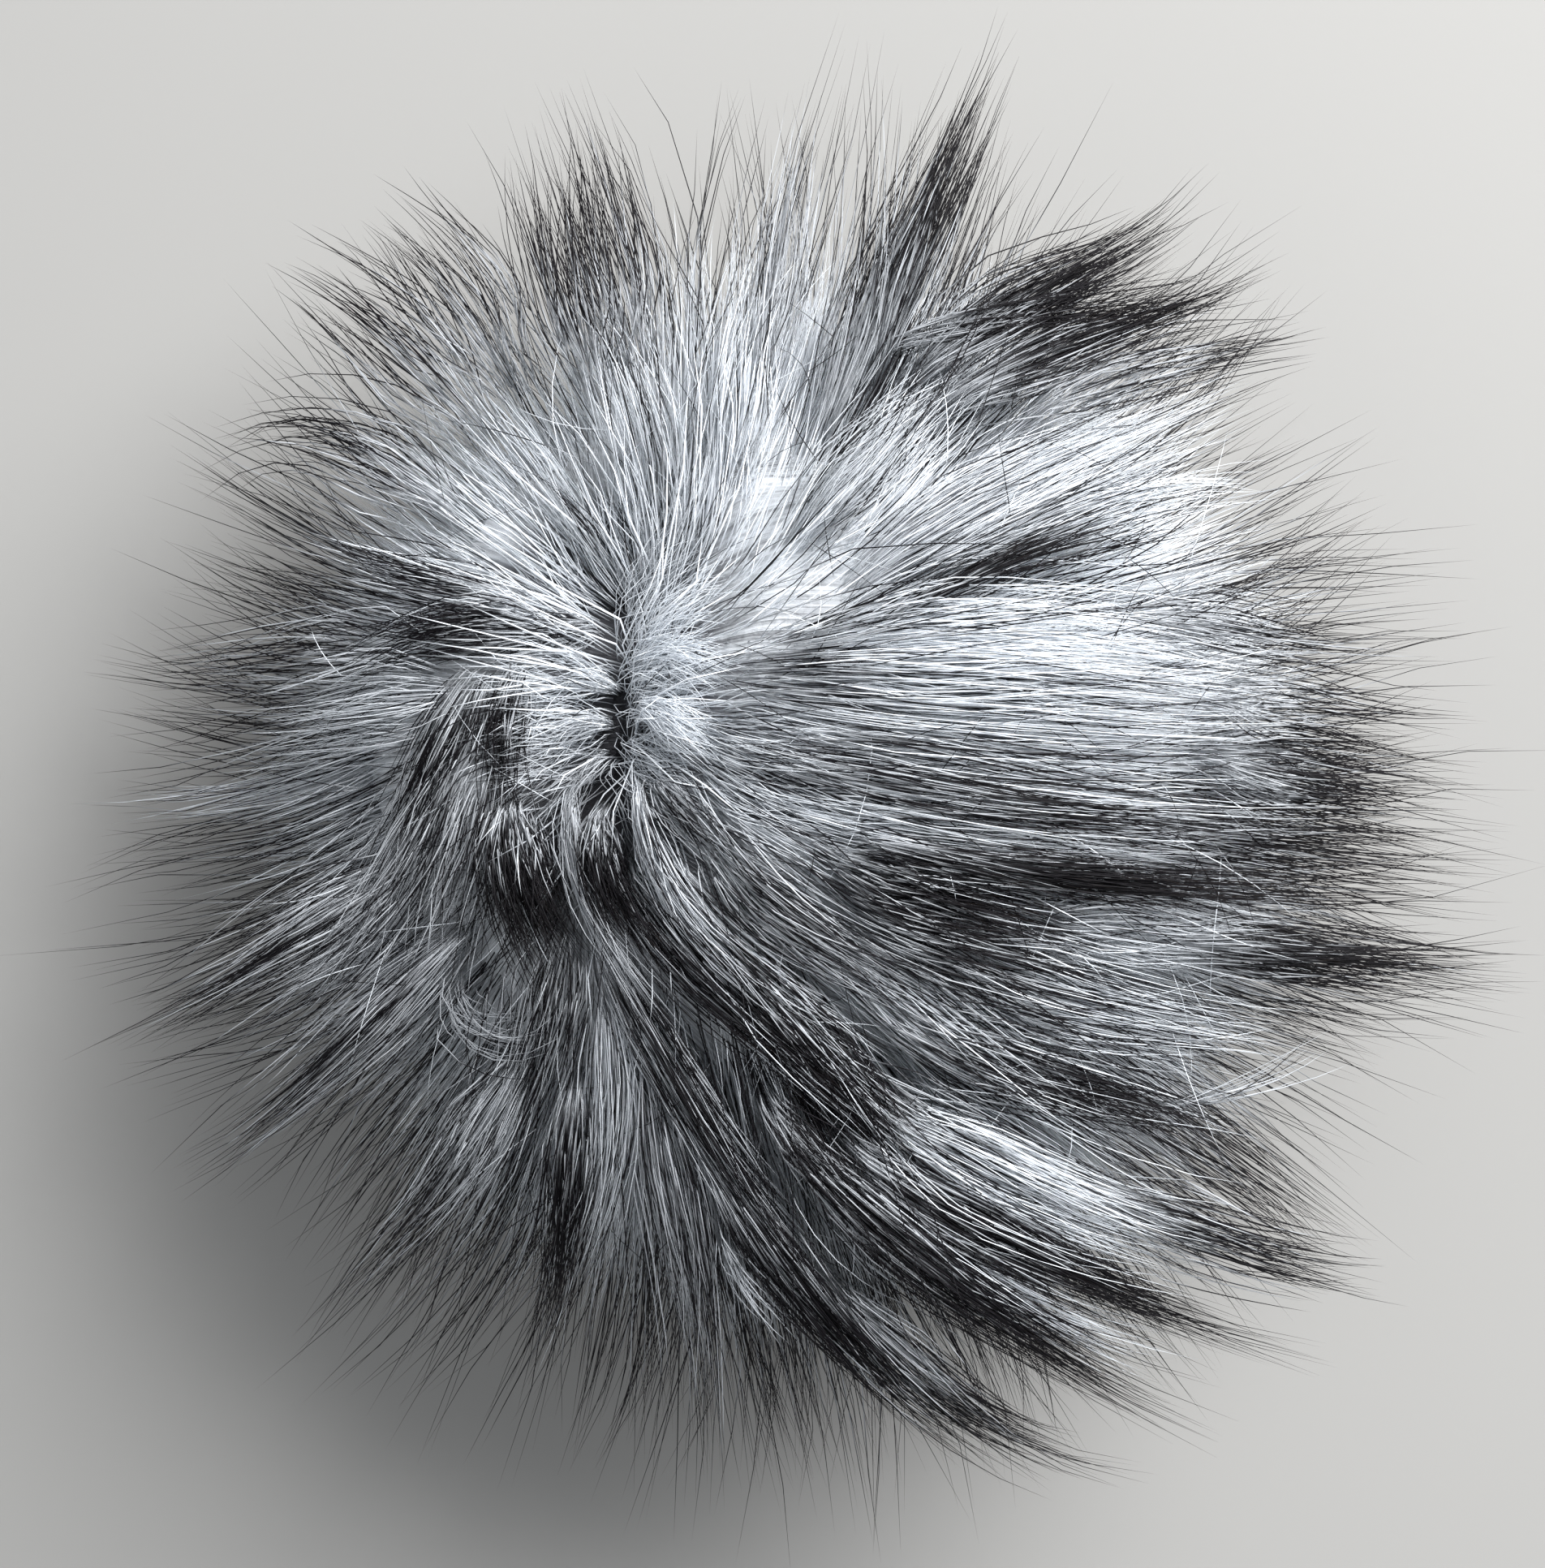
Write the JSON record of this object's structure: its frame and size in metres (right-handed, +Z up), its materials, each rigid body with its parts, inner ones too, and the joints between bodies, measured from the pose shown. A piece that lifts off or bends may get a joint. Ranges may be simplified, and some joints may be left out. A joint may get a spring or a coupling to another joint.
{
  "type": "pom pom",
  "caption": "Round long-pile fur pom pom, a gathered ball with pale pile and dark tips parted off-centre, that trims a hat, bag or garment.",
  "frame": {"origin": "centre of the small flat spot under the ball, on which it rests", "axes": "+Z up, away from the flat spot; +Y towards the top of the view from above; +X to its right, the way the longest sweep of pile lies"},
  "size_m": [0.168, 0.1689, 0.0773],
  "materials": {
    "fur": "matte"
  },
  "bodies": {
    "root": {"pom_pom": "fur"}
  },
  "joints": []
}
